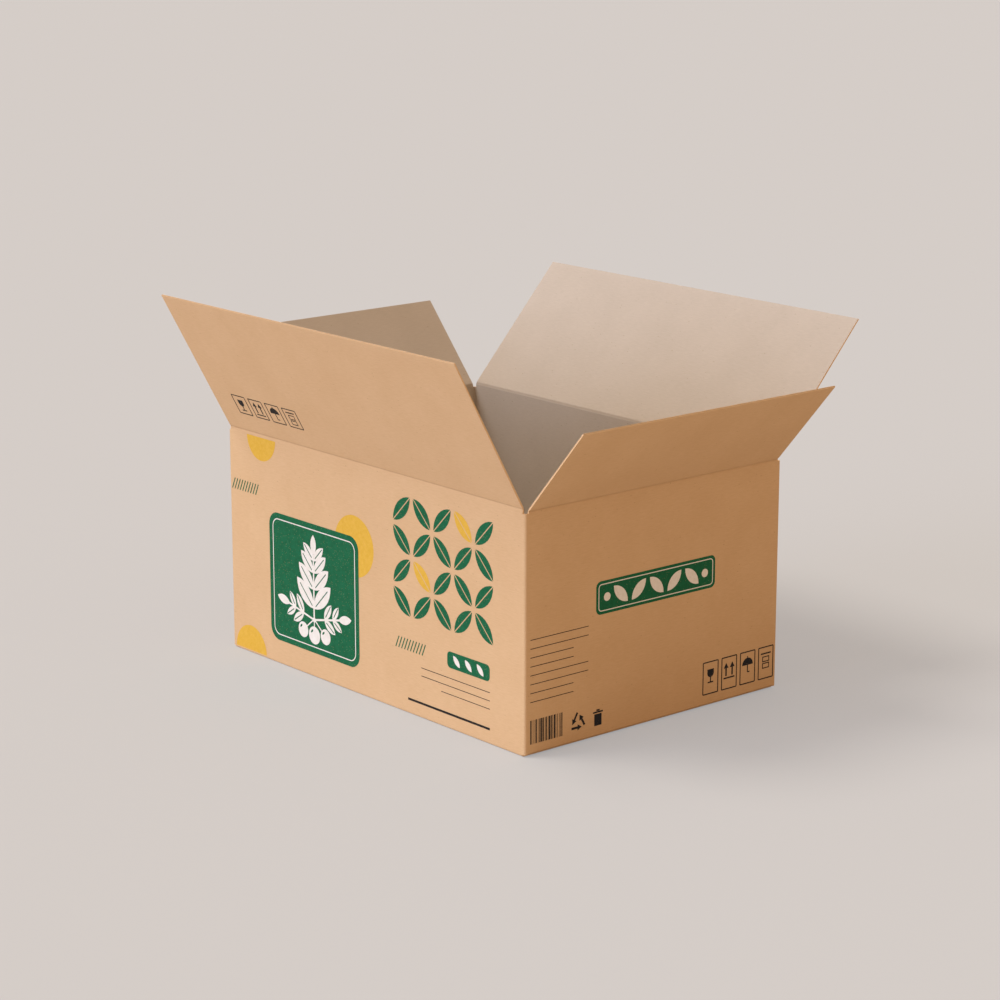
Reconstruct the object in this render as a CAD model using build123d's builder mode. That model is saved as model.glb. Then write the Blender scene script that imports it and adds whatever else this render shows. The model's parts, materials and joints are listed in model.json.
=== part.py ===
# Regular slotted carton folded from one blank of E-flute corrugated board.
# Four walls, a glued side joint and glued bottom flaps are one folded sheet. The four top flaps stand open.
# Millimetres. X runs along the length, Y along the width and Z up. The origin is the middle of the base.

import os
from math import cos, radians, sin

from build123d import *

# Clear room inside the closed carton
inside_length = 400.0
inside_width = 282.0
inside_height = 198.0

# Corrugated board: its thickness, one facing sheet, one flute and the width of a flute's slanting flank
board = 1.5
liner = 0.25
flute_pitch = 3.4
flute_flank = 0.35
fold_inside = 0.4

# Slots between neighbouring flaps: the flat board beside a corner fold, and the cut past the closed flaps
fold_land = 0.1
overcut_clearance = 0.2

# Flaps: the gap where the long ones meet, and the depth of the short ones on the end walls
seam_gap = 0.5
end_flap_depth = 96.0

# Top creases: the hinge line stands just outside the wall, with a V of free room on the inside.
# The board is crushed flat for a short way past the V, and the long flaps clear the short ones under them.
hinge_offset = 0.1
crease_clearance = 0.1
crushed_land = 1.3
lap_clearance = 0.3

# Glued side joint: a tab on one end wall, inside the front wall, whose cut edge stops short of the corner
tab_width = 32.0
tab_end_gap = 4.0
tab_taper = 8.0
joint_gap = 0.3

# How far each top flap stands open, outwards from upright, in degrees
front_opening = 29.0
right_opening = 41.3
back_opening = 42.3
left_opening = 41.5

# A quarter of a turn takes one wall to the next, in degrees
front_turn, right_turn, back_turn, left_turn = 0, 90, 180, 270

# Sizes that follow
outer_length = inside_length + 2 * board
outer_width = inside_width + 2 * board
fold_outside = fold_inside + board
slot_half = board + fold_outside + fold_land
slot_width = 2 * slot_half
slot_overcut = hinge_offset + board + overcut_clearance
long_flap_width = outer_length - slot_width
end_flap_width = outer_width - slot_width
long_flap_reach = (outer_width - seam_gap) / 2
root_gap = hinge_offset + crease_clearance
crushed_root = root_gap + board + crushed_land

# The short flaps lie inside the long ones, so their creases are one board nearer the middle
long_base = 0
end_base = long_base + board
floor_top = end_base + board
end_crease = floor_top + inside_height + board + hinge_offset
long_crease = end_crease + board + lap_clearance
corner_foot = long_base + slot_overcut
corner_head = end_crease - slot_overcut


def wall(turn, half_span, flap_width, flap_reach, base, crease):
    """One wall between its slots, with its bottom flap folded in, as a section that runs outwards and up."""
    outwards = Vector(0, -1, 0).rotate(Axis.Z, turn)
    along = Vector(1, 0, 0).rotate(Axis.Z, turn)
    bend_start = half_span - fold_outside
    free_edge = half_span - flap_reach
    top = crease - root_gap
    with BuildSketch(Plane(origin=along * (flap_width / 2), x_dir=outwards, z_dir=-along)) as section:
        with BuildLine():
            Line((free_edge, base), (bend_start, base))
            CenterArc((bend_start, base + fold_outside), fold_outside, 270, 90)
            Polyline(
                (half_span, base + fold_outside),
                (half_span, top),
                (half_span - board, top - board),
                (half_span - board, base + fold_outside),
            )
            CenterArc((bend_start, base + fold_outside), fold_inside, 0, -90)
            Polyline((bend_start, base + board), (free_edge, base + board), (free_edge, base))
        make_face()
    extrude(section.sketch, amount=flap_width)


def corner_folds():
    """The three plain corners between the slots, where one wall folds into the next."""
    with BuildSketch(Plane.XY.offset(corner_foot)) as folds:
        RectangleRounded(outer_length, outer_width, fold_outside)
        RectangleRounded(inside_length, inside_width, fold_inside, mode=Mode.SUBTRACT)
        Rectangle(long_flap_width, outer_width, mode=Mode.SUBTRACT)
        Rectangle(outer_length, end_flap_width, mode=Mode.SUBTRACT)
        with Locations((-outer_length / 2, -outer_width / 2)):
            Rectangle(slot_width, slot_width, mode=Mode.SUBTRACT)
    extrude(folds.sketch, amount=corner_head - corner_foot)


def glued_corner():
    """The front left corner: the left wall folds in behind the front wall, and its tab is glued there."""
    left = -outer_length / 2
    front = -outer_width / 2
    inner_face = front + board
    bend = (left + fold_outside, inner_face + fold_outside)
    cut_edge = left + fold_outside + joint_gap
    with BuildSketch(Plane.XY.offset(corner_foot)) as fold:
        with BuildLine():
            CenterArc(bend, fold_outside, 180, 90)
            Polyline(
                (bend[0], inner_face),
                (cut_edge, inner_face),
                (cut_edge, front),
                (left + slot_half, front),
                (left + slot_half, inner_face + board),
                (bend[0], inner_face + board),
            )
            CenterArc(bend, fold_inside, 270, -90)
            Polyline(
                (left + board, bend[1]),
                (left + board, front + slot_half),
                (left, front + slot_half),
                (left, bend[1]),
            )
        make_face()
    extrude(fold.sketch, amount=corner_head - corner_foot)

    # The tab tapers towards its free edge, so that it stays clear of the flaps at both ends
    root = left + slot_half
    tip = left + tab_width
    low = floor_top + tab_end_gap
    high = corner_head - tab_end_gap
    with BuildSketch(Plane.XZ.offset(-inner_face)) as tab:
        Polygon(
            (root, low), (tip, low + tab_taper), (tip, high - tab_taper), (root, high), align=None
        )
    extrude(tab.sketch, amount=-board)


def flute_ends(width):
    """The open flutes of a flap's section, pointing at the two facing sheets by turns."""
    core = board - 2 * liner
    opening = flute_pitch - 2 * flute_flank
    count = int(width / flute_pitch) - 1
    with GridLocations(flute_pitch, board, count, 1):
        Polygon((-opening / 2, -core / 2), (opening / 2, -core / 2), (0, core / 2), mode=Mode.SUBTRACT)
    with GridLocations(flute_pitch, board, count + 1, 1):
        Polygon((-opening / 2, core / 2), (0, -core / 2), (opening / 2, core / 2), mode=Mode.SUBTRACT)


def top_flap(turn, half_span, crease, width, depth, opening):
    """One top flap at its opening angle: fluted board, crushed flat where it hinges at the crease."""
    lean = radians(opening)
    hinge = Vector(0, -half_span - hinge_offset, crease).rotate(Axis.Z, turn)
    along = Vector(1, 0, 0).rotate(Axis.Z, turn)
    reach = Vector(0, -sin(lean), cos(lean)).rotate(Axis.Z, turn)
    across = Plane(origin=hinge, x_dir=along, z_dir=reach)
    with BuildSketch(across.offset(crushed_root)) as fluted:
        with Locations((0, hinge_offset + board / 2)):
            Rectangle(width, board)
            flute_ends(width)
    extrude(fluted.sketch, amount=depth - crushed_root)
    with BuildSketch(Plane(origin=hinge + along * (width / 2), x_dir=reach, z_dir=-along)) as root:
        Polygon(
            (root_gap, hinge_offset),
            (crushed_root, hinge_offset),
            (crushed_root, hinge_offset + board),
            (root_gap + board, hinge_offset + board),
            align=None,
        )
    extrude(root.sketch, amount=width)


os.makedirs("parts", exist_ok=True)

# Walls, joint and bottom flaps, one folded sheet
with BuildPart() as carton_body:
    for turn in (front_turn, back_turn):
        wall(turn, outer_width / 2, long_flap_width, long_flap_reach, long_base, long_crease)
    for turn in (left_turn, right_turn):
        wall(turn, outer_length / 2, end_flap_width, end_flap_depth, end_base, end_crease)
    corner_folds()
    glued_corner()
carton_body.part.label = "carton_body"
export_step(carton_body.part, "parts/carton_body.step")

# Long top flaps, which meet over the middle when they close
long_flap_depth = long_flap_reach + hinge_offset

with BuildPart() as front_top_flap:
    top_flap(front_turn, outer_width / 2, long_crease, long_flap_width, long_flap_depth, front_opening)
front_top_flap.part.label = "front_top_flap"
export_step(front_top_flap.part, "parts/front_top_flap.step")

with BuildPart() as back_top_flap:
    top_flap(back_turn, outer_width / 2, long_crease, long_flap_width, long_flap_depth, back_opening)
back_top_flap.part.label = "back_top_flap"
export_step(back_top_flap.part, "parts/back_top_flap.step")

# Short top flaps on the end walls, which close first and lie under the long ones
with BuildPart() as left_top_flap:
    top_flap(left_turn, outer_length / 2, end_crease, end_flap_width, end_flap_depth, left_opening)
left_top_flap.part.label = "left_top_flap"
export_step(left_top_flap.part, "parts/left_top_flap.step")

with BuildPart() as right_top_flap:
    top_flap(right_turn, outer_length / 2, end_crease, end_flap_width, end_flap_depth, right_opening)
right_top_flap.part.label = "right_top_flap"
export_step(right_top_flap.part, "parts/right_top_flap.step")
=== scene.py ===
# %% [markdown]
# # A printed shipping carton with its four flaps open
# The carton is one sheet of corrugated board that was slotted, scored, folded round and glued.
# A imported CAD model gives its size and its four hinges. This lesson builds the paper around them:
# the folded body, fluted flaps that bend at their creases, and four colours of ink.

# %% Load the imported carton
import json
import math

import bpy
from mathutils import Matrix, Vector

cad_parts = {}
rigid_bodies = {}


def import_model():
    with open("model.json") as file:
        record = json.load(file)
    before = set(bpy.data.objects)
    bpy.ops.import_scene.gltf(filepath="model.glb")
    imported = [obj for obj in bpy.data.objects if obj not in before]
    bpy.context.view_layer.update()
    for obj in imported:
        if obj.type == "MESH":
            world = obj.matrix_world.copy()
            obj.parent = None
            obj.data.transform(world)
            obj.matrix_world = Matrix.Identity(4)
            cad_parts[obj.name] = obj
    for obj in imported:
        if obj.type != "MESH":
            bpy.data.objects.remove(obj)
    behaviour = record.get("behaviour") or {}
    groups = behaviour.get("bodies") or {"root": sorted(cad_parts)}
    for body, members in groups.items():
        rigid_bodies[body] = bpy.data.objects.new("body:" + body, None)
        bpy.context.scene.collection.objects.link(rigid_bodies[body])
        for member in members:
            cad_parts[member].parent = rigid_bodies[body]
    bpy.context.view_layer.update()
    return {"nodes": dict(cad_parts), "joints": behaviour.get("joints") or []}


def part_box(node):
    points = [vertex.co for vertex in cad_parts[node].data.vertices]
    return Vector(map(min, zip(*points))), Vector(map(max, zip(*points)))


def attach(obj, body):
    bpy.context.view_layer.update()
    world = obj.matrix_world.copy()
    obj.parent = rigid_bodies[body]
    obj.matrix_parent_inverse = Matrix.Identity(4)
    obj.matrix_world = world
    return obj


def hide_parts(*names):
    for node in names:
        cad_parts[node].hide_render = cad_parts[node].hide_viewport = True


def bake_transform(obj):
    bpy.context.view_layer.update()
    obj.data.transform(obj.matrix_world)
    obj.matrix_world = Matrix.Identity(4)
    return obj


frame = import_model()
bpy.ops.object.select_all(action="DESELECT")

# %% [markdown]
# ## Measures
# The outer size comes from the body's box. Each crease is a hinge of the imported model, and a flap lies flat
# over the opening at the end of its range, so its opening from upright is that angle less a quarter turn.
# All this could be typed in again, but then a change to the model would go unnoticed. Only the section of
# the board is written here, because the solids don't say what the paper is.

# %% Measure the body and the four flaps
MM = 0.001
board = 1.5 * MM
liner = 0.25 * MM
flute_pitch = 3.4 * MM
quarter_turn = math.radians(90)

body_low, body_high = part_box("carton_body")
outer_length = body_high.x - body_low.x
outer_width = body_high.y - body_low.y

flaps = {}
for quarter, side in enumerate(("front", "right", "back", "left")):
    joint = next(row for row in frame["joints"] if row["child"] == side + "_flap")
    low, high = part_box(side + "_top_flap")
    along = quarter % 2  # The axis of the crease: X on the long sides, Y on the ends
    hinge = Vector(joint["pos_m"])
    away = abs(hinge[1 - along])
    lean = math.radians(joint["range_deg"][1]) - quarter_turn
    offset = away - (outer_width, outer_length)[along] / 2
    rise = high.z - hinge.z - (offset + board) * math.sin(lean)
    flaps[side] = {
        "turn": quarter * quarter_turn,
        "away": away,
        "offset": offset,
        "crease": hinge.z,
        "lean": lean,
        "width": high[along] - low[along],
        "depth": rise / math.cos(lean),
    }
    print(side, {name: round(value, 5) for name, value in flaps[side].items()})

# %% [markdown]
# ## Selecting by place
# By hand you would click on faces. In a script you pick them by where they lie or which way they point.
# These helpers leave one object active, or one part of its mesh selected in edit mode.


# %% Helpers that select
def only(piece):
    """Makes one object the only selected one, and active, in object mode."""
    if bpy.context.mode != "OBJECT":
        bpy.ops.object.mode_set(mode="OBJECT")
    bpy.ops.object.select_all(action="DESELECT")
    piece.select_set(True)
    bpy.context.view_layer.objects.active = piece


def pick(piece, kind, test):
    """Opens a piece in edit mode with the vertices or faces that pass a test selected."""
    only(piece)
    bpy.ops.object.mode_set(mode="EDIT")
    bpy.ops.mesh.select_mode(type=kind)
    bpy.ops.mesh.select_all(action="DESELECT")
    bpy.ops.object.mode_set(mode="OBJECT")
    parts = piece.data.vertices if kind == "VERT" else piece.data.polygons
    for part in parts:
        part.select = test(part)
    bpy.ops.object.mode_set(mode="EDIT")


def pick_all(piece):
    """Opens a piece in edit mode with all of it selected."""
    pick(piece, "FACE", lambda face: True)


def apply_place(piece):
    """Moves an object's place, turn and scale into its mesh."""
    only(piece)
    bpy.ops.object.transform_apply(location=True, rotation=True, scale=True)


# %% [markdown]
# ## Paper
# Kraft liner is unbleached wood pulp: a brown sheet with long fibres combed one way, soft clouds where the
# pulp lay thicker, and dark flecks of bark. An image could show that, but nodes stay sharp at any distance.
# Each pattern is set by its real size in millimetres, on a UV map that is laid out in metres.

# %% Helpers for nodes and colours
matt_ior = 1.45
matt_specular_share = 0.25


def linear(hex_colour):
    """An sRGB hex colour as the linear colour that a shader takes."""
    colour = []
    for start in (1, 3, 5):
        share = int(hex_colour[start : start + 2], 16) / 255
        colour.append(share / 12.92 if share <= 0.04045 else ((share + 0.055) / 1.055) ** 2.4)
    return colour + [1]


def add_node(tree, kind, sockets, **settings):
    """Adds a shader node. A socket takes a value, or the output of another node as a link."""
    node = tree.nodes.new(kind)
    for name, value in settings.items():
        setattr(node, name, value)
    for name, value in sockets.items():
        if isinstance(value, bpy.types.NodeSocket):
            tree.links.new(value, node.inputs[name])
        else:
            node.inputs[name].default_value = value
    return node


def new_material(name, roughness):
    """A matt material with its shader, ready for nodes."""
    material = bpy.data.materials.new(name)
    material.use_nodes = True
    shader = material.node_tree.nodes["Principled BSDF"]
    shader.inputs["Roughness"].default_value = roughness
    shader.inputs["IOR"].default_value = matt_ior
    shader.inputs["Specular IOR Level"].default_value = matt_specular_share
    return material, material.node_tree, shader


# %% Clouds and combed fibres
cloud_size = 38 * MM
cloud_detail = 3.0
fibre_length = 8 * MM
fibre_width = 0.9 * MM  # Real fibres are finer, but these still show at the camera's distance
fibre_detail = 5.0
fibre_rough_share = 0.65
fibre_share = 0.7
brown_shares = (0.3, 0.7)


def fibre_browns(tree, uv, dark, light):
    """Two browns mixed by clouds and fibres, and the fibres alone, whose relief is needed as well."""
    clouds = add_node(
        tree, "ShaderNodeTexNoise", {"Vector": uv, "Scale": 1 / cloud_size, "Detail": cloud_detail}
    )
    comb = (1 / fibre_length, 1 / fibre_width, 1)
    combed = add_node(tree, "ShaderNodeMapping", {"Vector": uv, "Scale": comb})
    fibres = add_node(
        tree,
        "ShaderNodeTexNoise",
        {
            "Vector": combed.outputs["Vector"],
            "Scale": 1.0,
            "Detail": fibre_detail,
            "Roughness": fibre_rough_share,
        },
    )
    tone = add_node(
        tree,
        "ShaderNodeMixRGB",
        {"Fac": fibre_share, "Color1": clouds.outputs["Fac"], "Color2": fibres.outputs["Fac"]},
    )
    browns = add_node(tree, "ShaderNodeValToRGB", {"Fac": tone.outputs["Color"]})
    for stop, position, colour in zip(browns.color_ramp.elements, brown_shares, (dark, light)):
        stop.position = position
        stop.color = linear(colour)
    return browns.outputs["Color"], fibres.outputs["Fac"]


# %% Bark flecks
fleck_length = 6 * MM
fleck_width = 3 * MM
fleck_slant = 0.12  # In radians
fleck_core_share, fleck_rim_share = 0.05, 0.16
bare_cell_share = 0.55


def bark_flecks(tree, uv, fleck_share):
    """Short soft strokes in some of the cells of a stretched pattern, up to the given share of dark."""
    strokes = (1 / fleck_length, 1 / fleck_width, 1)
    spread = add_node(
        tree, "ShaderNodeMapping", {"Vector": uv, "Scale": strokes, "Rotation": (0, 0, fleck_slant)}
    )
    cells = add_node(tree, "ShaderNodeTexVoronoi", {"Vector": spread.outputs["Vector"], "Scale": 1.0})
    near = add_node(
        tree,
        "ShaderNodeMapRange",
        {
            "Value": cells.outputs["Distance"],
            "From Min": fleck_core_share,
            "From Max": fleck_rim_share,
            "To Min": 1.0,
            "To Max": 0.0,
        },
    )
    chance = add_node(tree, "ShaderNodeSeparateColor", {"Color": cells.outputs["Color"]})
    chosen = add_node(
        tree,
        "ShaderNodeMapRange",
        {
            "Value": chance.outputs["Red"],
            "From Min": bare_cell_share,
            "From Max": 1.0,
            "To Max": fleck_share,
        },
    )
    flecks = add_node(
        tree,
        "ShaderNodeMath",
        {0: near.outputs["Result"], 1: chosen.outputs["Result"]},
        operation="MULTIPLY",
    )
    return flecks.outputs["Value"]


# %% Relief of the paper
fibre_height = 0.03 * MM
washboard_height = 0.012 * MM
wave_length = math.pi / 10  # What the wave pattern measures from ridge to ridge at a scale of 1


def paper_relief(tree, uv, fibres):
    """The faint ridges that the flutes press through the liner, with the felt of the fibres on them."""
    ridges = add_node(tree, "ShaderNodeTexWave", {"Vector": uv, "Scale": wave_length / flute_pitch})
    washboard = add_node(
        tree,
        "ShaderNodeBump",
        {"Height": ridges.outputs["Fac"], "Distance": washboard_height, "Strength": 1.0},
    )
    felt = add_node(
        tree,
        "ShaderNodeBump",
        {
            "Height": fibres,
            "Distance": fibre_height,
            "Strength": 1.0,
            "Normal": washboard.outputs["Normal"],
        },
    )
    return felt.outputs["Normal"]


# %% The four papers
# How much darker the crease gets: partly real burnish, partly painted shade in the fold
crease_burnish_and_shade_share = 0.3


def paper(name, dark, light, fleck, fleck_share, roughness):
    """Uncoated paper: two browns, bark flecks, and flutes that just show."""
    material, tree, shader = new_material(name, roughness)
    uv = add_node(tree, "ShaderNodeTexCoord", {}).outputs["UV"]
    browns, fibres = fibre_browns(tree, uv, dark, light)
    flecked = add_node(
        tree,
        "ShaderNodeMixRGB",
        {"Fac": bark_flecks(tree, uv, fleck_share), "Color1": browns, "Color2": linear(fleck)},
    )

    # The scoring wheel burnishes the paper darker, and the crease gets painted shade as well, as far as the
    # flap's own attribute says
    scored = add_node(tree, "ShaderNodeAttribute", {}, attribute_name="score")
    crease_burnish_and_shade = add_node(
        tree, "ShaderNodeMath", {0: scored.outputs["Fac"], 1: crease_burnish_and_shade_share}, operation="MULTIPLY"
    )
    colour = add_node(
        tree,
        "ShaderNodeMixRGB",
        {"Fac": crease_burnish_and_shade.outputs["Value"], "Color1": flecked.outputs["Color"], "Color2": linear(fleck)},
    )
    tree.links.new(colour.outputs["Color"], shader.inputs["Base Color"])
    tree.links.new(paper_relief(tree, uv, fibres), shader.inputs["Normal"])
    return material


# Outer liner: machine-smoothed brown kraft, matt, with the clearest fibres
outer_liner = paper("kraft_outer_liner", "#C6A378", "#D2B187", "#8E6A47", fleck_share=0.5, roughness=0.82)
# Inner liner: a recycled sheet, greyer and paler, which the press never touched
inner_liner = paper(
    "recycled_inner_liner", "#B2A695", "#BEB2A1", "#86705A", fleck_share=0.6, roughness=0.88
)
# Cut edges: torn fibre ends without a pressed skin, so they look paler and drier than the face
cut_edge = paper("cut_board_edge", "#D0AC7F", "#DFBE93", "#A98459", fleck_share=0.3, roughness=0.92)
# Fluting: thin soft paper between the liners, about as brown as the outer one, without a pressed skin
fluting = paper("fluting_paper", "#C6A47E", "#D6B58F", "#8F6C49", fleck_share=0.4, roughness=0.9)
print("papers:", outer_liner.name, inner_liner.name, cut_edge.name, fluting.name)

# %% [markdown]
# ## Folded body
# Walls, glued side joint and bottom flaps never move against each other, so they stay one sheet. It could be
# folded up again from planes, but the CAD mesh already has the folds, the slots and the lapped joint.
# A merged copy of it is trimmed level just below the creases, because from there on the paper has to bend,
# and that is made with each flap.

# %% Copy and trim the folded body
tongue = 1.8 * MM
merge_distance = 0.002 * MM
near_enough = 0.01 * MM
sharp_fold = math.radians(30)

shell = bpy.data.objects.new("carton_shell", frame["nodes"]["carton_body"].data.copy())
bpy.context.scene.collection.objects.link(shell)
shell.data.materials.clear()
pick_all(shell)
bpy.ops.mesh.customdata_custom_splitnormals_clear()
bpy.ops.mesh.remove_doubles(threshold=merge_distance)
bpy.ops.mesh.tris_convert_to_quads()

long_trim = flaps["front"]["crease"] - tongue
end_trim = flaps["right"]["crease"] - tongue
inner_half_width = outer_width / 2 - board
inner_half_length = outer_length / 2 - board


def above_long_trim(vertex):
    """Whether a point of a long wall stands above its trim."""
    return abs(vertex.co.y) > inner_half_width - near_enough and vertex.co.z > long_trim


def above_end_trim(vertex):
    """Whether a point of an end wall, between its slots, stands above its trim."""
    on_end_wall = abs(vertex.co.x) > inner_half_length - near_enough
    between_slots = abs(vertex.co.y) < flaps["right"]["width"] / 2 + near_enough
    return on_end_wall and between_slots and vertex.co.z > end_trim


for above_trim, trim in ((above_long_trim, long_trim), (above_end_trim, end_trim)):
    pick(shell, "VERT", above_trim)
    bpy.ops.transform.resize(value=(1, 1, 0), center_override=(0, 0, trim))
pick_all(shell)
bpy.ops.mesh.dissolve_degenerate(threshold=merge_distance)
bpy.ops.mesh.remove_doubles(threshold=merge_distance)
bpy.ops.uv.cube_project(cube_size=1.0)
bpy.ops.object.mode_set(mode="OBJECT")
only(shell)
bpy.ops.object.shade_smooth_by_angle(angle=sharp_fold)
shell_top = max(vertex.co.z for vertex in shell.data.vertices)
print("body:", len(shell.data.polygons), "faces, top at", round(shell_top, 5))

# %% [markdown]
# A face of this sheet is outer liner if it looks away from the middle of the carton and inner liner if it
# looks towards it. A face that is only one board wide, square to the axes and on none of the sheet's own
# faces is cut. The faces could be chosen by hand, but a rule still holds when the carton changes its size.

# %% Give each face of the body its paper
thin_share = 1.1
square_share = 0.999
outer_index, inner_index, edge_index, fluting_index = range(4)
papers = (outer_liner, inner_liner, cut_edge, fluting)
middle = (body_low + body_high) / 2
face_places = (
    (outer_length / 2, inner_half_length, inner_half_length - board),
    (outer_width / 2, inner_half_width, inner_half_width - board),
    (0, board, 2 * board),
)


def give_papers(piece):
    """Gives a piece all four papers, so that each of its faces can name one by its index."""
    for sheet in papers:
        piece.data.materials.append(sheet)


def paper_of(mesh, face):
    """The paper of one face of the folded sheet."""
    corners = [mesh.vertices[index].co for index in face.vertices]
    sizes = sorted(max(c[axis] for c in corners) - min(c[axis] for c in corners) for axis in range(3))
    axis = max(range(3), key=lambda index: abs(face.normal[index]))
    square = abs(face.normal[axis]) > square_share
    on_face = any(abs(abs(face.center[axis]) - place) < near_enough for place in face_places[axis])
    if square and sizes[1] < thin_share * board and not on_face:
        return edge_index
    return outer_index if face.normal.dot(face.center - middle) > 0 else inner_index


give_papers(shell)
for face in shell.data.polygons:
    face.material_index = paper_of(shell.data, face)
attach(shell, "carton")
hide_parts("carton_body")
print("cut edge faces:", sum(face.material_index == edge_index for face in shell.data.polygons))

# %% [markdown]
# ## Top flaps
# A flap is two liners with a waved sheet between them. A picture of flutes on a solid edge would look flat
# from close by, so the section is modelled. A box is hollowed from its free edge by an inset and a deep
# extrude, which leaves both liners and the pinched sides. Then it is cut into fine rows at the crease and
# pressed in there, as the scoring wheel does. Front and back are the same blank, and so are the two ends.

# %% Model a flat flap
crushed_root = 3.0 * MM
score_half_width = 1.4 * MM
inner_score = 0.35 * MM
outer_score = 0.2 * MM
crease_rows = 12
upward_share = 0.9


def row_height(row):
    """How high a row of the score lies above the crease, or below it where negative."""
    return tongue * (2 * row / crease_rows - 1)


def score_share(height):
    """How hard the wheel pressed a row: fully on the crease, and less to both sides."""
    return math.cos(min(abs(height) / score_half_width, 1) * quarter_turn) ** 2


def press(flap, height, middle_depth, inside, amount):
    """Moves one row of one face of the board, as a scoring wheel presses it."""

    def on_row(vertex):
        """Whether a point lies on this row of this face."""
        return abs(vertex.co.z - height) < near_enough and (vertex.co.y > middle_depth) == inside

    pick(flap, "VERT", on_row)
    bpy.ops.transform.translate(value=(0, amount, 0))
    bpy.ops.object.mode_set(mode="OBJECT")


def flat_flap(name, width, depth, offset):
    """A flat board that stands on its crease: X along it, Y into the carton and Z towards the free edge."""
    middle_depth = offset + board / 2
    bpy.ops.object.select_all(action="DESELECT")
    bpy.ops.mesh.primitive_cube_add(size=1, location=(0, middle_depth, (depth - tongue) / 2))
    flap = bpy.context.object
    flap.name = name
    flap.scale = (width, board, depth + tongue)
    apply_place(flap)
    pick(flap, "FACE", lambda face: face.normal.z > upward_share)
    bpy.ops.mesh.inset(thickness=liner)
    bpy.ops.mesh.extrude_region_move(TRANSFORM_OT_translate={"value": (0, 0, crushed_root - depth)})
    for row in range(1, crease_rows + 1):
        bpy.ops.mesh.select_all(action="SELECT")
        bpy.ops.mesh.bisect(plane_co=(0, 0, row_height(row)), plane_no=(0, 0, 1))
    bpy.ops.object.mode_set(mode="OBJECT")
    for row in range(1, crease_rows):
        height = row_height(row)
        share = score_share(height)
        if share > 0:
            press(flap, height, middle_depth, True, -inner_score * share)
            press(flap, height, middle_depth, False, outer_score * share)
    # Where the papers darken the crease: partly burnish, partly painted shade in the fold
    score = flap.data.attributes.new("score", "FLOAT", "POINT")
    for vertex in flap.data.vertices:
        score.data[vertex.index].value = score_share(vertex.co.z) ** 2
    return flap


# %% [markdown]
# The waved sheet is one flute of eight strips, arrayed across the flap and given its thickness by Solidify.
# A modifier could ripple a flat sheet as well, but one modelled flute keeps its pitch and height exact.

# %% Model the flutes
flute_strips = 8
medium = 0.2 * MM
flute_overlap = 0.02 * MM
edge_recess = 0.05 * MM


def flute_sheet(width, depth, offset):
    """The waved sheet of one flap, from the end of the crushed board to the free edge."""
    length = depth - edge_recess - crushed_root
    count = int((width - 2 * liner) / flute_pitch)
    bpy.ops.object.select_all(action="DESELECT")
    bpy.ops.mesh.primitive_grid_add(x_subdivisions=flute_strips, y_subdivisions=1, size=1)
    sheet = bpy.context.object
    sheet.scale = (flute_pitch, length, 1)
    apply_place(sheet)
    swing = (board - 2 * liner - medium) / 2 + flute_overlap
    for strip in range(flute_strips + 1):
        share = strip / flute_strips
        pick(sheet, "VERT", lambda v, x=(share - 0.5) * flute_pitch: abs(v.co.x - x) < near_enough)
        bpy.ops.transform.translate(value=(0, 0, swing * math.cos(math.tau * share)))
        bpy.ops.object.mode_set(mode="OBJECT")
    array = sheet.modifiers.new("across_the_flap", "ARRAY")
    array.count = count
    array.use_merge_vertices = True
    array.merge_threshold = near_enough
    bpy.ops.object.modifier_apply(modifier=array.name)
    solidify = sheet.modifiers.new("paper", "SOLIDIFY")
    solidify.thickness = medium
    solidify.offset = 0
    bpy.ops.object.modifier_apply(modifier=solidify.name)
    sheet.location.x = -(count - 1) * flute_pitch / 2
    apply_place(sheet)
    sheet.rotation_euler.x = quarter_turn
    sheet.location = (0, offset + board / 2, (depth - edge_recess + crushed_root) / 2)
    apply_place(sheet)
    give_papers(sheet)
    for face in sheet.data.polygons:
        face.material_index = fluting_index
    return sheet


# %% [markdown]
# The knife that cut the blank pinched its edges, so the last stretch of the section is scaled thinner all
# round. At the free edge it also crushed the flutes, so there the liners show as two broad pale lips.
# A bevel would round these edges, but it would not bring the two liners closer together.

# %% Pinch the cut edges
pinch_length = 1.6 * MM
side_pinch_share = 0.76
edge_pinch_share = 0.92
crush_share = 0.5


def pinch_cuts(flap, width, depth, offset):
    """Crushes the flutes at the free edge and thins the board along its cuts."""
    middle_depth = offset + board / 2
    pick_all(flap)
    bpy.ops.mesh.bisect(plane_co=(0, 0, depth - pinch_length), plane_no=(0, 0, 1))
    for way in (-1, 1):
        bpy.ops.mesh.select_all(action="SELECT")
        bpy.ops.mesh.bisect(plane_co=(way * (width / 2 - pinch_length), 0, 0), plane_no=(1, 0, 0))

    def at_side(vertex):
        """Whether a point lies on a side cut, past the crease."""
        return abs(vertex.co.x) > width / 2 - pinch_length / 2 and vertex.co.z > tongue + near_enough

    def at_free_edge(vertex):
        """Whether a point lies on the free edge."""
        return vertex.co.z > depth - pinch_length / 2

    def in_flutes(vertex):
        """Whether a point of the free edge lies between the liners."""
        return at_free_edge(vertex) and abs(vertex.co.y - middle_depth) < (board - liner) / 2

    cuts = (
        (in_flutes, crush_share),
        (lambda vertex: at_free_edge(vertex) and not at_side(vertex), edge_pinch_share),
        (at_side, side_pinch_share),
    )
    for on_cut, share in cuts:
        pick(flap, "VERT", on_cut)
        bpy.ops.transform.resize(value=(1, share, 1), center_override=(0, middle_depth, 0))
    bpy.ops.object.mode_set(mode="OBJECT")


# %% Join board and flutes
def board_paper(mesh, face, depth, offset):
    """The paper of one face of a flat flap."""
    depths = [mesh.vertices[index].co.y for index in face.vertices]
    heights = [mesh.vertices[index].co.z for index in face.vertices]
    if min(heights) > depth - near_enough:
        return edge_index
    if max(depths) < offset + outer_score + near_enough:
        return outer_index
    if min(depths) > offset + board - inner_score - near_enough:
        return inner_index
    if min(heights) < depth - board and face.normal.x == 0:
        return fluting_index
    return edge_index


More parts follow.
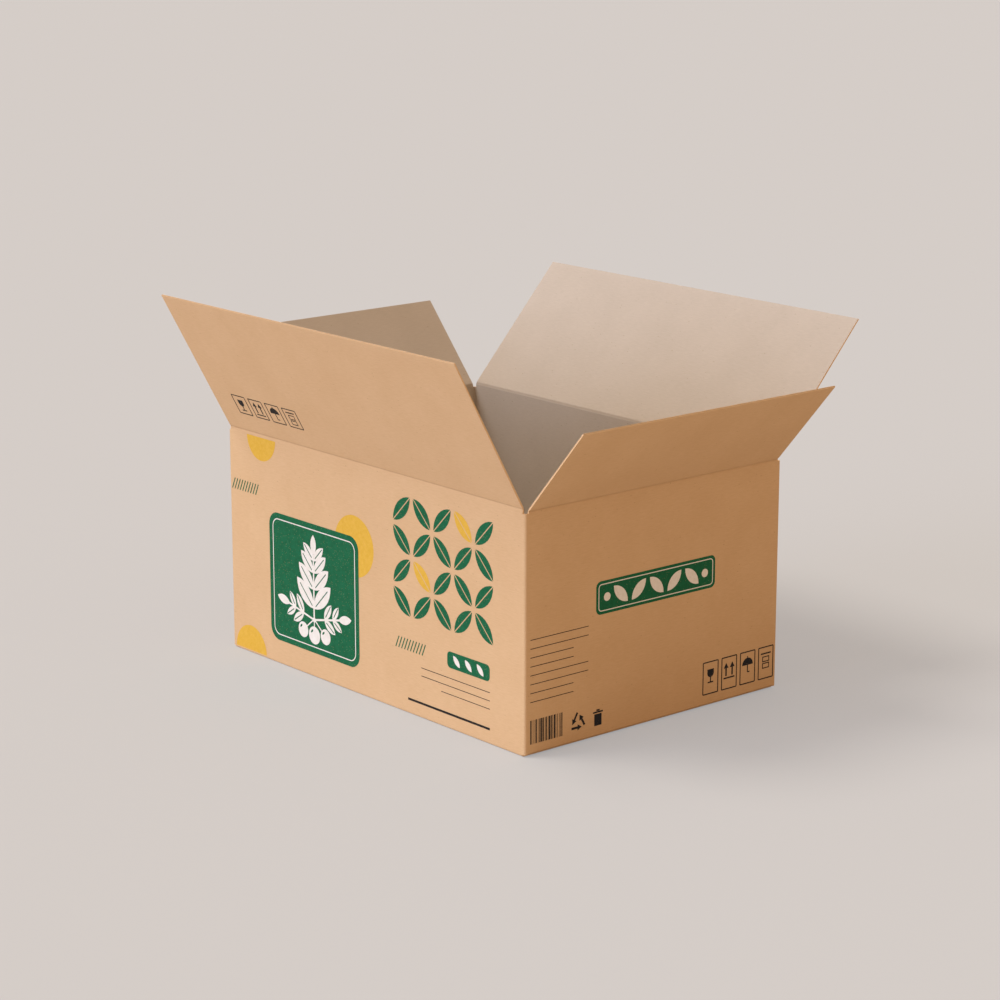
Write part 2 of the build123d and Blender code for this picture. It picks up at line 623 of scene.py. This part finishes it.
def fluted_flap(name, width, depth, offset):
    """Board and flutes as one flat piece with its papers and its UV map in metres."""
    flap = flat_flap(name, width, depth, offset)
    give_papers(flap)
    for face in flap.data.polygons:
        face.material_index = board_paper(flap.data, face, depth, offset)
    sheet = flute_sheet(width, depth, offset)
    only(flap)
    sheet.select_set(True)
    bpy.ops.object.join()
    pinch_cuts(flap, width, depth, offset)
    pick_all(flap)
    bpy.ops.uv.cube_project(cube_size=1.0)
    bpy.ops.object.mode_set(mode="OBJECT")
    return flap


blanks = {}
for blank_name, side in (("long", "front"), ("end", "right")):
    size = flaps[side]
    blank = fluted_flap(blank_name + "_flap_blank", size["width"], size["depth"], size["offset"])
    blanks[blank_name] = blank
    print(blank_name, "flap blank:", len(blank.data.polygons), "faces")

# %% [markdown]
# ## Folding the flaps open
# A real crease is no sharp line: the score spreads the fold over a few millimetres of softened paper.
# Turning the whole flap about a line would tear it from the wall.

# %% Fold and place each flap
share_digits = 4


def fold_share(height):
    """How far a row follows the flap: none at the wall, all past the score, and smoothly between."""
    share = min(max((height + tongue) / (2 * tongue), 0), 1)
    return share * share * (3 - 2 * share)


def fold(flap, lean):
    """Turns each row of a flat flap outwards about its crease, and says how many turns that took."""
    turned = [round(fold_share(vertex.co.z), share_digits) for vertex in flap.data.vertices]
    shares = sorted(set(turned) - {0})
    for share in shares:
        pick(flap, "VERT", lambda vertex, part=share: turned[vertex.index] == part)
        bpy.ops.transform.rotate(value=-share * lean, orient_axis="X", center_override=(0, 0, 0))
        bpy.ops.object.mode_set(mode="OBJECT")
    return len(shares)


for side, blank_name in (("front", "long"), ("back", "long"), ("left", "end"), ("right", "end")):
    size = flaps[side]
    flap = blanks[blank_name].copy()
    flap.data = blanks[blank_name].data.copy()
    flap.name = side + "_flap_board"
    bpy.context.scene.collection.objects.link(flap)
    turns = fold(flap, size["lean"])
    flap.location = (0, -size["away"], size["crease"])
    apply_place(flap)
    flap.rotation_euler.z = size["turn"]
    apply_place(flap)
    bpy.ops.object.shade_smooth_by_angle(angle=sharp_fold)
    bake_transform(flap)
    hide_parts(side + "_top_flap")
    top = max(vertex.co.z for vertex in flap.data.vertices)
    cad_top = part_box(side + "_top_flap")[1].z
    print(side, "flap:", turns, "turns, top at", round(top, 5), "and in CAD at", round(cad_top, 5))

for blank in blanks.values():
    bpy.data.objects.remove(blank)

# %% [markdown]
# ## Ink
# The carton is flexo printed: a rubber plate puts water-based ink straight on the kraft. The ink soaks in,
# so it is matt, a little mottled, and the paper shows through in pinholes. One flat colour would look like
# a sticker, so each ink has two tones and lets some board through.

# %% Ink materials
mottle_size = 3.2 * MM
mottle_detail = 4.0
mottle_rough_share = 0.7
tone_shares = (0.35, 0.75)
pinhole_size = 1.9 * MM
pinhole_core_share, pinhole_rim_share = 0.08, 0.2
bare_share = 0.35
bare_kraft = "#C69B70"


def ink(name, colour, thin_colour, roughness):
    """Soaked-in flexo ink: two tones of one colour in small blots, and pinholes where the paper shows."""
    material, tree, shader = new_material(name, roughness)
    place = add_node(tree, "ShaderNodeTexCoord", {}).outputs["Object"]
    blots = add_node(
        tree,
        "ShaderNodeTexNoise",
        {
            "Vector": place,
            "Scale": 1 / mottle_size,
            "Detail": mottle_detail,
            "Roughness": mottle_rough_share,
        },
    )
    tones = add_node(tree, "ShaderNodeValToRGB", {"Fac": blots.outputs["Fac"]})
    for stop, position, tone in zip(tones.color_ramp.elements, tone_shares, (colour, thin_colour)):
        stop.position = position
        stop.color = linear(tone)
    cells = add_node(tree, "ShaderNodeTexVoronoi", {"Vector": place, "Scale": 1 / pinhole_size})
    holes = add_node(
        tree,
        "ShaderNodeMapRange",
        {
            "Value": cells.outputs["Distance"],
            "From Min": pinhole_core_share,
            "From Max": pinhole_rim_share,
            "To Min": bare_share,
            "To Max": 0.0,
        },
    )
    bare = add_node(
        tree,
        "ShaderNodeMixRGB",
        {"Fac": holes.outputs["Result"], "Color1": tones.outputs["Color"], "Color2": linear(bare_kraft)},
    )
    tree.links.new(bare.outputs["Color"], shader.inputs["Base Color"])
    return material


# Green: a strong pigment that covers well, so it stays deep and even on the brown
green_ink = ink("green_flexo_ink", "#045632", "#0A6640", roughness=0.7)
# Yellow: a transparent pigment that the board turns to a dull gold
yellow_ink = ink("yellow_flexo_ink", "#CFA334", "#D8AE46", roughness=0.72)
# Black: carbon black, a warm near black once it has soaked in
black_ink = ink("black_flexo_ink", "#14110F", "#231D19", roughness=0.68)
# White: titanium white laid on thickly, the driest of the four, a little creamy over kraft
white_ink = ink("opaque_white_flexo_ink", "#E4E1D8", "#DAD5C8", roughness=0.75)
print("inks:", green_ink.name, yellow_ink.name, black_ink.name, white_ink.name)

# %% [markdown]
# ## Printed shapes
# A motif is drawn flat, in millimetres from the middle of its panel's foot, out of planes and circles.
# A plane with two opposite corners rounded is a leaf. All the shapes of one colour are joined, thickened to
# a film of ink, stood up and set on their panel. A painted mask would do in one render, but films also
# export as real shapes.

# %% Helpers that draw flat shapes
corner_segments = 8
disc_corners = 56
leaf_round_share = 0.97


def round_corners(shape, radius, test):
    """Rounds the corners of a flat shape that pass a test."""
    pick(shape, "VERT", test)
    bpy.ops.mesh.bevel(offset=radius, segments=corner_segments, affect="VERTICES")
    bpy.ops.object.mode_set(mode="OBJECT")


def set_down(shape, x, y, turn=0.0):
    """Turns a flat shape and moves it to its place on the panel."""
    shape.rotation_euler.z = turn
    shape.location = (x * MM, y * MM, 0)
    apply_place(shape)
    return shape


def plate(x, y, width, height, turn=0.0, corner=0.0):
    """A rectangle of ink, turned and with rounded corners where asked."""
    bpy.ops.object.select_all(action="DESELECT")
    bpy.ops.mesh.primitive_plane_add(size=1)
    shape = bpy.context.object
    shape.scale = (width * MM, height * MM, 1)
    apply_place(shape)
    if corner:
        round_corners(shape, corner * MM, lambda vertex: True)
    return set_down(shape, x, y, turn)


def rule(x0, y0, x1, y1, weight):
    """A straight stroke between two points."""
    length = math.hypot(x1 - x0, y1 - y0)
    return plate((x0 + x1) / 2, (y0 + y1) / 2, length, weight, math.atan2(y1 - y0, x1 - x0))


def disc(x, y, radius, corners=disc_corners, turn=0.0):
    """A round blot, or with three corners a triangle that points up."""
    bpy.ops.object.select_all(action="DESELECT")
    bpy.ops.mesh.primitive_circle_add(vertices=corners, radius=radius * MM, fill_type="NGON")
    return set_down(bpy.context.object, x, y, turn)


def half_disc(x, y, radius, up):
    """The upper or the lower half of a disc."""
    shape = disc(x, y, radius)
    pick_all(shape)
    bpy.ops.mesh.bisect(plane_co=(0, y * MM, 0), plane_no=(0, 1, 0), clear_inner=up, clear_outer=not up)
    bpy.ops.object.mode_set(mode="OBJECT")
    return shape


def leaf(x, y, size, turn=0.0):
    """A leaf whose tips point up left and down right before it is turned."""
    shape = plate(0, 0, size, size)
    round_corners(shape, size * leaf_round_share * MM, lambda vertex: vertex.co.x * vertex.co.y > 0)
    return set_down(shape, x, y, turn)


def split_leaf(x, y, size, slit, turn):
    """A leaf in two halves, with the paper showing as its vein."""
    halves = []
    for way in (-1, 1):
        half = leaf(0, 0, size)
        pick_all(half)
        outwards = Vector((way, way, 0)).normalized()
        bpy.ops.mesh.bisect(plane_co=outwards * slit * MM / 2, plane_no=outwards, clear_inner=True)
        bpy.ops.object.mode_set(mode="OBJECT")
        halves.append(set_down(half, x, y, turn))
    return halves


def outline(x, y, width, height, weight, corner=0.0):
    """A frame: a rectangle whose inset middle is taken out."""
    shape = plate(x, y, width, height, corner=corner)
    pick_all(shape)
    bpy.ops.mesh.inset(thickness=weight * MM)
    bpy.ops.mesh.delete(type="FACE")
    bpy.ops.object.mode_set(mode="OBJECT")
    return shape


# %% Helper that makes a film of ink
film_thickness = 0.05 * MM
film_sink = 0.01 * MM
flat_angle = math.radians(0.5)


def lay_film(name, shapes, colour, layer, stand, body):
    """Joins flat shapes, thickens them to a film on its layer, and stands it on its panel."""
    only(shapes[0])
    for shape in shapes:
        shape.select_set(True)
    bpy.ops.object.join()
    film = bpy.context.object
    film.name = name
    solidify = film.modifiers.new("ink", "SOLIDIFY")
    solidify.thickness = film_thickness + film_sink
    solidify.offset = 1
    bpy.ops.object.modifier_apply(modifier=solidify.name)
    pick_all(film)
    bpy.ops.mesh.intersect_boolean(operation="UNION", use_self=True, solver="EXACT")
    bpy.ops.mesh.select_all(action="SELECT")
    bpy.ops.mesh.dissolve_limited(angle_limit=flat_angle)
    bpy.ops.object.mode_set(mode="OBJECT")
    film.data.transform(stand @ Matrix.Translation((0, 0, layer * film_thickness - film_sink)))
    film.data.materials.append(colour)
    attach(film, body)
    print(name, "of", len(film.data.polygons), "faces on", body)


# %% Stand the drawings on their panels
stand_up = Matrix.Rotation(quarter_turn, 4, "X")
on_front = Matrix.Translation((0, -outer_width / 2, 0)) @ stand_up
on_end = Matrix.Rotation(quarter_turn, 4, "Z") @ Matrix.Translation((0, -outer_length / 2, 0)) @ stand_up
front = flaps["front"]
on_flap = (
    Matrix.Translation((0, -front["away"], front["crease"]))
    @ Matrix.Rotation(front["lean"], 4, "X")
    @ Matrix.Translation((0, front["offset"], 0))
    @ stand_up
)
for panel, stand in (("front", on_front), ("end", on_end), ("flap", on_flap)):
    print(panel, "panel's foot at", [round(value, 4) for value in stand.translation])

# %% [markdown]
# ## Front panel
# A green field with a white sprig and a yellow sun stands on the left, and a lattice of leaf tiles on the
# right. Overlapping colours lie on layers, as on the press: yellow first, then green, white and the veins.
# Colours at one depth would flicker where they overlap, and cutting each out of the next is more work.

# %% Yellow and green of the front panel
field_x, field_y, field_width, field_height, field_corner = -78, 80, 128, 116, 12
sun_radius, sun_inset_x, sun_inset_y = 27, 6, 8
half_suns = ((-152, 201.2, 21, False), (-173, 2.5, 23, True))  # x, y, radius, and up for the upper half
sun_x = field_x + field_width / 2 - sun_inset_x
sun_y = field_y + field_height / 2 - sun_inset_y
yellow = [disc(sun_x, sun_y, sun_radius)]
yellow += [half_disc(x, y, radius, up) for x, y, radius, up in half_suns]
green = [plate(field_x, field_y, field_width, field_height, corner=field_corner)]

tile_rows, tile_columns = 4, 5
tile_pitch, tile_size, tile_slit = 26.5, 22.5, 1.0
tile_x, tile_y = 45, 96
yellow_tiles = ((1, 1), (3, 3))
for row in range(tile_rows):
    for column in range(tile_columns):
        turn = quarter_turn * ((row + column) % 2)
        colours = yellow if (row, column) in yellow_tiles else green
        x, y = tile_x + tile_pitch * column, tile_y + tile_pitch * row
        colours.extend(split_leaf(x, y, tile_size, tile_slit, turn))

hatch_strokes, hatch_step, hatch_height, hatch_lean, hatch_weight = 10, 3.9, 10, 4.5, 1.1
hatch_places = ((-197, 148), (36, 55))
for hatch_x, hatch_y in hatch_places:
    for stroke in range(hatch_strokes):
        foot = hatch_x + stroke * hatch_step
        green.append(rule(foot, hatch_y, foot + hatch_lean, hatch_y + hatch_height, hatch_weight))

pill_x, pill_y, pill_width, pill_height, pill_corner = 131, 60, 54, 14, 4
green.append(plate(pill_x, pill_y, pill_width, pill_height, corner=pill_corner))
lay_film("front_yellow_print", yellow, yellow_ink, layer=0, stand=on_front, body="carton")
lay_film("front_green_print", green, green_ink, layer=1, stand=on_front, body="carton")

# %% [markdown]
# The sprig is a stem with pairs of leaves that grow smaller upwards. It is drawn at the origin and then
# moved to its foot at a slant, so that one helper grows all three. Each leaf gets a green vein on its white.

# %% Helper that grows a sprig
stem_weight, stem_tail = 1.8, 1.4
tip_size, tip_lift = 13, 5
vein_weight, vein_start = 0.9, 2.4
vein_share = 0.72


def sprig(foot_x, foot_y, slant, length, pairs):
    """The white shapes of a sprig and the green veins on its leaves. A pair is its height and leaf size."""
    shapes = [rule(0, -stem_tail, 0, length, stem_weight)]
    shapes.append(leaf(0, length + tip_lift, tip_size, turn=-quarter_turn / 2))
    lines = []
    for height, size in pairs:
        for way in (-1, 1):
            shapes.append(leaf(way * size / 2, height + size / 2, size, turn=0 if way < 0 else quarter_turn))
            tip = vein_start + size * vein_share
            lines.append(rule(way * vein_start, height + vein_start, way * tip, height + tip, vein_weight))
    foot = Matrix.Translation((foot_x * MM, foot_y * MM, 0))
    grow = foot @ Matrix.Rotation(math.radians(slant), 4, "Z")
    for shape in shapes + lines:
        shape.data.transform(grow)
    return shapes, lines


# %% White sprigs and green veins
rim_inset, rim_weight, rim_corner = 5, 0.9, 8
rim_width, rim_height = field_width - 2 * rim_inset, field_height - 2 * rim_inset
white = [outline(field_x, field_y, rim_width, rim_height, rim_weight, corner=rim_corner)]
veins = []

foot_y = 52
knot_radius = 2.2
sprigs = (
    # slant in degrees, length, and pairs of leaves
    (0, 62, ((10, 24), (27, 21), (42, 17.5), (53, 14))),
    (78, 40, ((15, 13), (27, 11))),
    (-78, 40, ((15, 13), (27, 11))),
)
white.append(disc(field_x, foot_y, knot_radius))
for slant, length, pairs in sprigs:
    shapes, lines = sprig(field_x, foot_y, slant, length, pairs)
    white += shapes
    veins += lines

fruits = ((-16, 40, 7), (0, 38, 8), (16, 40, 7))  # step from the stem, y and radius
stalk_weight = 1.2
stalk_spread_share = 0.05
glint_size = 3.2
glint_share = 0.42
for step, fruit_y, fruit_radius in fruits:
    fruit_x = field_x + step
    white.append(disc(fruit_x, fruit_y, fruit_radius))
    white.append(rule(field_x + step * stalk_spread_share, foot_y, fruit_x, fruit_y, stalk_weight))
    glint = fruit_radius * glint_share
    veins.append(leaf(fruit_x - glint, fruit_y + glint, glint_size, turn=quarter_turn))

pill_leaf_pitch, pill_leaf_size = 15, 8.5
for place in (-1, 0, 1):
    white.append(leaf(pill_x + place * pill_leaf_pitch, pill_y, pill_leaf_size))
lay_film("front_white_print", white, white_ink, layer=2, stand=on_front, body="carton")
lay_film("front_vein_print", veins, green_ink, layer=3, stand=on_front, body="carton")

# %% [markdown]
# ## Handling marks
# Cartons carry a few standard signs that need no words: fragile, this way up, keep dry and stacking.
# A symbol font could set them, but it would have to be on every computer. Each is put together from discs,
# triangles and strokes in a thin frame, in millimetres from its own middle, for the end panel and a flap.


# %% Draw the handling marks
def glass_mark(x, y):
    """Fragile: a stemmed glass, with straight walls above a round bowl."""
    bowl_radius, bowl_rim, wall_middle, wall_height = 3.8, 2.2, 3.8, 3.4
    stem_top, foot_y, foot_half, weight = -1, -6, 3.2, 1.2
    return [
        half_disc(x, y + bowl_rim, bowl_radius, up=False),
        plate(x, y + wall_middle, 2 * bowl_radius, wall_height),
        rule(x, y + stem_top, x, y + foot_y, weight),
        rule(x - foot_half, y + foot_y, x + foot_half, y + foot_y, weight),
    ]


def upright_mark(x, y):
    """This way up: two arrows above a line."""
    line_y, line_half, line_weight = -6.4, 6.5, 1.3
    arrow_step, arrow_foot, arrow_neck, arrow_weight = 3.6, -4.6, 3, 1.7
    head_y, head_radius = 4, 3.2
    shapes = [rule(x - line_half, y + line_y, x + line_half, y + line_y, line_weight)]
    for arrow_x in (x - arrow_step, x + arrow_step):
        shapes.append(rule(arrow_x, y + arrow_foot, arrow_x, y + arrow_neck, arrow_weight))
        shapes.append(disc(arrow_x, y + head_y, head_radius, corners=3))
    return shapes


def umbrella_mark(x, y):
    """Keep dry: an umbrella with a hooked handle."""
    canopy_y, canopy_radius, tip_foot, tip_top, tip_weight = 0.2, 6.4, 6, 8, 1
    handle_top, handle_foot, hook, weight = 1, -6, 2.6, 1.1
    return [
        half_disc(x, y + canopy_y, canopy_radius, up=True),
        rule(x, y + handle_top, x, y + handle_foot, weight),
        rule(x, y + handle_foot, x + hook, y + handle_foot, weight),
        rule(x, y + tip_foot, x, y + tip_top, tip_weight),
    ]


def stacking_mark(x, y):
    """Stacking: two boxes under a line."""
    box_steps, box_width, box_height, box_weight = (-4.6, 1.2), 8.4, 5, 0.9
    line_y, line_half, line_weight = 6.2, 6, 1.3
    shapes = [outline(x, y + step, box_width, box_height, box_weight) for step in box_steps]
    shapes.append(rule(x - line_half, y + line_y, x + line_half, y + line_y, line_weight))
    return shapes


# %% Set the marks in a row
marks = (glass_mark, upright_mark, umbrella_mark, stacking_mark)
frame_weight, frame_corner = 1.05, 1.2


def mark_row(x, y, pitch, width, height, lift):
    """Four framed marks in a row, each drawn as far above the middle of its frame as the lift says."""
    shapes = []
    for place, mark in enumerate(marks):
        mark_x = x + place * pitch
        shapes.append(outline(mark_x, y, width, height, frame_weight, corner=frame_corner))
        shapes += mark(mark_x, y + lift)
    return shapes


# %% [markdown]
# ## Black print
# Fine ruled lines stand where a packer writes, and the end panel also has a green label, a bar pattern,
# a loop of arrows and a bin. They come from the same few shapes, because an image would blur the lines.

# %% Black print of the front panel and flap
line_weight = 0.6
lines_end = 158
front_lines = ((44, 88), (37, 88), (30, 62))  # y and length
foot_line_start, foot_line_y, foot_line_weight = 52, 13, 2.0
black = [rule(lines_end - length, y, lines_end, y, line_weight) for y, length in front_lines]
black.append(rule(foot_line_start, foot_line_y, lines_end, foot_line_y, foot_line_weight))
lay_film("front_black_print", black, black_ink, layer=0, stand=on_front, body="carton")

flap_marks = mark_row(x=-158, y=31, pitch=24.6, width=20, height=21, lift=0)
lay_film("flap_black_print", flap_marks, black_ink, layer=0, stand=on_flap, body="front_flap")

# %% Label of the right end panel
label_y, label_width, label_height, label_corner = 118, 134, 28, 5
label = [plate(0, label_y, label_width, label_height, corner=label_corner)]
lay_film("end_green_print", label, green_ink, layer=0, stand=on_end, body="carton")

garland_pitch, garland_leaf = 20, 15.5
dot_x, dot_radius = 55, 3.6
edging_inset, edging_weight, edging_corner = 2.5, 0.8, 3.4
edging_width, edging_height = label_width - 2 * edging_inset, label_height - 2 * edging_inset
garland = []
for place in range(-2, 3):
    garland.append(leaf(place * garland_pitch, label_y, garland_leaf, turn=quarter_turn * (place % 2)))
garland += [disc(way * dot_x, label_y, dot_radius) for way in (-1, 1)]
garland.append(outline(0, label_y, edging_width, edging_height, edging_weight, corner=edging_corner))
lay_film("end_white_print", garland, white_ink, layer=1, stand=on_end, body="carton")

# %% Lines and bars of the right end panel
black = mark_row(x=64, y=25, pitch=22, width=18.5, height=29, lift=2)
column_left = -137
lines_top, line_pitch = 97, 7.4
line_lengths = (62, 62, 46, 46) * 2
for line, length in enumerate(line_lengths):
    line_y = lines_top - line * line_pitch
    black.append(rule(column_left, line_y, column_left + length, line_y, line_weight))

bar_foot, bar_height, bar_unit = 10, 20, 0.52
bar_widths = (2, 1, 1, 3, 1, 2, 1, 1, 2, 3, 1, 1, 2, 1, 3, 1, 2, 2, 1, 1, 2)  # Bars and gaps by turns
bar_x = column_left
for place, units in enumerate(bar_widths * 2):
    bar_width = units * bar_unit
    if place % 2 == 0:
        black.append(plate(bar_x + bar_width / 2, bar_foot + bar_height / 2, bar_width, bar_height))
    bar_x += bar_width

# %% Loop and bin of the right end panel
loop_middle, loop_radius, loop_weight, loop_head_radius = Vector((-86, 18)), 9.0, 2.0, 3.0
loop_tail_share, loop_tip_share = 0.06, 0.58
loop_arrows = 3
loop_corners = []
for place in range(loop_arrows + 1):
    angle = quarter_turn + math.tau * place / loop_arrows
    loop_corners.append(loop_middle + loop_radius * Vector((math.cos(angle), math.sin(angle))))
for start, end in zip(loop_corners, loop_corners[1:]):
    tail, tip = start.lerp(end, loop_tail_share), start.lerp(end, loop_tip_share)
    black.append(rule(*tail, *tip, loop_weight))
    run = end - start
    black.append(disc(*tip, loop_head_radius, corners=3, turn=math.atan2(run.y, run.x) - quarter_turn))

bin_x, bin_y, bin_width, bin_height = -64, 15.5, 8, 10
lid_y, lid_half, knob_y, knob_half, lid_weight = 22, 5.4, 23.6, 1.8, 1.4
black.append(plate(bin_x, bin_y, bin_width, bin_height))
black.append(rule(bin_x - lid_half, lid_y, bin_x + lid_half, lid_y, lid_weight))
black.append(rule(bin_x - knob_half, knob_y, bin_x + knob_half, knob_y, lid_weight))
lay_film("end_black_print", black, black_ink, layer=0, stand=on_end, body="carton")

# %% [markdown]
# ## Floor, light and camera
# The carton stands on a pale sweep in soft studio light. A broad low lamp from the left models the long
# side, a higher one draws the shadow, and the warm light of the room fills the shaded end.
# Suns and a plain world light the floor evenly, which area lamps this near would not.

# %% Floor
floor_size = 40.0
floor_glow_share = 0.5
bpy.ops.object.select_all(action="DESELECT")
bpy.ops.mesh.primitive_plane_add(size=floor_size, location=(0, 0, 0))
floor = bpy.context.object
floor.name = "studio_floor"
# Painted sweep: flat emulsion with no shine at all, so the shadow is all that marks it
sweep, sweep_tree, sweep_shader = new_material("painted_sweep", roughness=0.95)
sweep_shader.inputs["Base Color"].default_value = linear("#D2CCC5")
sweep_shader.inputs["Specular IOR Level"].default_value = 0.0


def seen_rays(tree):
    """One where a ray comes from the camera, straight or by way of a mirror or glass, and otherwise none."""
    rays = add_node(tree, "ShaderNodeLightPath", {})
    seen = rays.outputs["Is Camera Ray"]
    for kind in ("Is Glossy Ray", "Is Transmission Ray"):
        either = add_node(tree, "ShaderNodeMath", {0: seen, 1: rays.outputs[kind]}, operation="MAXIMUM")
        seen = either.outputs["Value"]
    return seen


# Half of what the camera sees of the floor is a cool glow, which offsets the warm room and lifts the shadow
glow = add_node(sweep_tree, "ShaderNodeEmission", {"Color": linear("#C5CDD2"), "Strength": 1.0})
glow_share = add_node(
    sweep_tree, "ShaderNodeMath", {0: seen_rays(sweep_tree), 1: floor_glow_share}, operation="MULTIPLY"
)
paint = add_node(
    sweep_tree,
    "ShaderNodeMixShader",
    {0: glow_share.outputs["Value"], 1: sweep_shader.outputs["BSDF"], 2: glow.outputs["Emission"]},
)
sweep_tree.links.new(paint.outputs["Shader"], sweep_tree.nodes["Material Output"].inputs["Surface"])
floor.data.materials.append(sweep)
print("floor:", floor.name, "of", floor_size, "m")

# %% Lamps
view_turn = math.radians(49.656)
view_rise = math.radians(14.061)
lamps = (
    # name, turn from the camera's left, elevation, strength, softness, colour
    ("key", -5, 60, 1.55, 26, "#FFFFFF"),
    ("side", 27, 5, 3.35, 44, "#C6DAFF"),
)
for name, swing, rise, strength, softness, colour in lamps:
    lamp_turn = view_turn - quarter_turn + math.radians(swing)
    flat = Vector((math.sin(lamp_turn), -math.cos(lamp_turn), 0))
    towards = flat * math.cos(math.radians(rise)) + Vector((0, 0, math.sin(math.radians(rise))))
    lamp = bpy.data.lights.new(name, "SUN")
    lamp.energy = strength
    lamp.angle = math.radians(softness)
    lamp.color = linear(colour)[:3]
    holder = bpy.data.objects.new(name, lamp)
    holder.rotation_euler = towards.to_track_quat("Z", "Y").to_euler()
    bpy.context.scene.collection.objects.link(holder)
    print("lamp", name, [round(value, 3) for value in towards])

# %% World
room_strength = 0.69
world = bpy.data.worlds.new("studio")
world.use_nodes = True
bpy.context.scene.world = world
sky = world.node_tree
sky.nodes.clear()
room = add_node(sky, "ShaderNodeBackground", {"Color": linear("#FFDAB9"), "Strength": room_strength})
backdrop = add_node(sky, "ShaderNodeBackground", {"Color": linear("#D4CCC6"), "Strength": 1.0})
mixed = add_node(
    sky,
    "ShaderNodeMixShader",
    {0: seen_rays(sky), 1: room.outputs["Background"], 2: backdrop.outputs["Background"]},
)
add_node(sky, "ShaderNodeOutputWorld", {"Surface": mixed.outputs["Shader"]})
print("world:", world.name, "at", room_strength)

# %% Camera
lens_mm, sensor_mm = 102.07, 36
camera_place = (1.82526, -1.54787, 0.75044)
camera_data = bpy.data.cameras.new("camera")
camera_data.lens = lens_mm
camera_data.sensor_width = sensor_mm
camera = bpy.data.objects.new("camera", camera_data)
camera.location = camera_place
camera.rotation_euler = (quarter_turn - view_rise, 0, view_turn)
bpy.context.scene.collection.objects.link(camera)
bpy.context.scene.camera = camera
bpy.context.scene.view_settings.view_transform = "Standard"
print("camera:", lens_mm, "mm lens at", camera_place)
